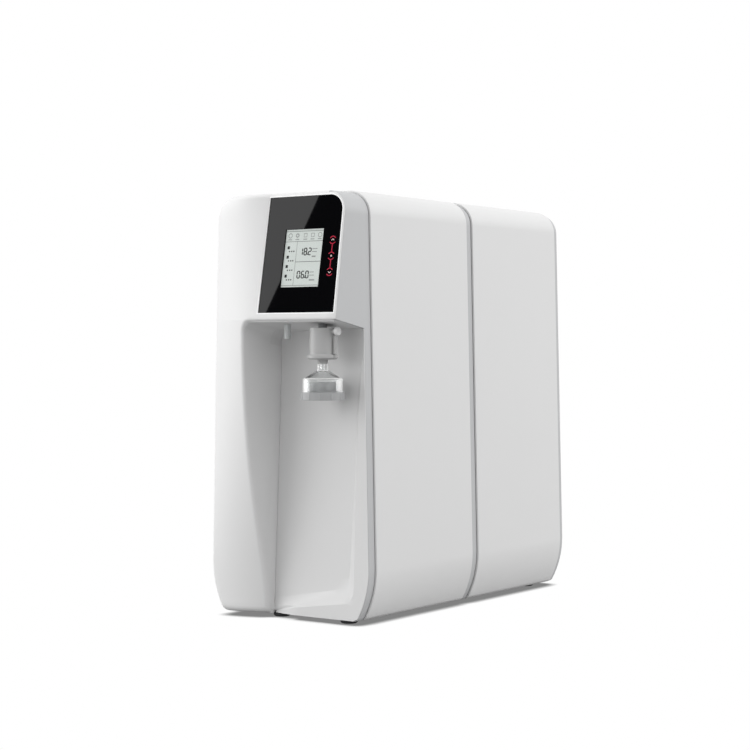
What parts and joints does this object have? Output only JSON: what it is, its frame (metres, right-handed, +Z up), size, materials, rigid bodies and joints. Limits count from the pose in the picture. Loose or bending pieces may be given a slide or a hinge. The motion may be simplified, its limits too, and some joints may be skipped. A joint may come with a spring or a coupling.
{
  "type": "laboratory water purifier",
  "caption": "Bench water purifier with a bowed front, leaning touch display, scooped dispensing space, bell final filter and lift-off side covers.",
  "frame": {"origin": "centre of the bounding box of the whole object, on the bench surface under the feet", "axes": "+X to the right as the user faces the display, +Y from the front to the back, +Z up"},
  "size_m": [0.22, 0.5149, 0.4985],
  "materials": {
    "cover_white": "satin moulded plastic",
    "frame_grey": "fine matt moulded plastic",
    "tray_metal": "brushed sheet",
    "foot_rubber": "matt",
    "black_glass": "polished black",
    "screen": "screen",
    "board_green": "coated board",
    "nozzle_clear": "clear plastic",
    "stem_grey": "matt",
    "outlet_white": "satin",
    "knob_white": "satin",
    "bell_clear": "clear plastic",
    "core_grey": "matt",
    "ring_grey": "matt",
    "valve_blue": "matt",
    "panel_steel": "fine powder coat",
    "inlet_black": "matt",
    "rocker_red": "satin",
    "fuse_grey": "matt",
    "head_white": "satin",
    "cartridge_blue": "satin",
    "lamp_steel": "brushed",
    "motor_black": "satin paint",
    "supply_steel": "zinc plated sheet",
    "spacer_brass": "turned",
    "tube_clear": "satin tube"
  },
  "bodies": {
    "housing": {"front_cover": "cover_white", "recess_panel": "cover_white", "front_frame": "frame_grey", "mid_frame": "frame_grey", "rear_frame": "frame_grey", "right_rear_cover": "cover_white", "left_rear_cover": "cover_white", "front_base": "tray_metal", "rear_base": "tray_metal", "top_rails": "tray_metal", "feet": "foot_rubber", "display_glass": "black_glass", "lcd_module": "screen", "display_board": "board_green", "permeate_nozzle": "nozzle_clear", "outlet_stem": "stem_grey", "outlet_body": "outlet_white", "vent_tube": "nozzle_clear", "dispense_valve": "valve_blue", "rear_panel": "panel_steel", "power_inlet": "inlet_black", "water_unions": "outlet_white", "cartridge_shelf": "tray_metal", "cartridge_heads": "head_white", "sediment_cartridge": "head_white", "carbon_cartridge": "head_white", "polishing_cartridge_a": "cartridge_blue", "polishing_cartridge_b": "cartridge_blue", "membrane_housing": "head_white", "membrane_caps": "head_white", "membrane_clips": "fuse_grey", "lamp_chamber": "lamp_steel", "lamp_clips": "fuse_grey", "pump_motor": "motor_black", "pump_head": "outlet_white", "pump_mounts": "foot_rubber", "circulation_pump": "valve_blue", "valve_manifold": "outlet_white", "solenoid_coils": "inlet_black", "resistivity_cell": "lamp_steel", "pressure_switch": "motor_black", "power_supply": "supply_steel", "main_board": "board_green", "board_spacers": "spacer_brass", "water_tubes": "tube_clear", "tube_elbows": "outlet_white", "panel_screws": "lamp_steel", "frame_screws": "lamp_steel"},
    "final_filter": {"filter_bell": "bell_clear", "filter_core": "core_grey", "filter_ring": "ring_grey"},
    "vent_knob": {"vent_knob": "knob_white"},
    "rocker_switch": {"rocker_switch": "rocker_red"},
    "fuse_drawer": {"fuse_drawer": "fuse_grey"},
    "right_front_cover": {"right_front_cover": "cover_white"},
    "left_front_cover": {"left_front_cover": "cover_white"}
  },
  "joints": [
    {"name": "final_filter_pull", "type": "slide", "parent": "housing", "child": "final_filter", "axis": [0, 0, -1], "range_m": [0, 0.04]},
    {"name": "vent_knob_turn", "type": "hinge", "parent": "housing", "child": "vent_knob", "pos_m": [0.0837, -0.2295, 0.336], "axis": [1, 0, 0], "range_deg": [0, 90]},
    {"name": "rocker_switch_tilt", "type": "hinge", "parent": "housing", "child": "rocker_switch", "pos_m": [0.04, 0.2455, 0.106], "axis": [1, 0, 0], "range_deg": [-8, 8]},
    {"name": "fuse_drawer_slide", "type": "slide", "parent": "housing", "child": "fuse_drawer", "axis": [0, 1, 0], "range_m": [0, 0.016]},
    {"name": "right_front_cover_off", "type": "slide", "parent": "housing", "child": "right_front_cover", "axis": [1, 0, 0], "range_m": [0, 0.12]},
    {"name": "left_front_cover_off", "type": "slide", "parent": "housing", "child": "left_front_cover", "axis": [-1, 0, 0], "range_m": [0, 0.12]}
  ]
}
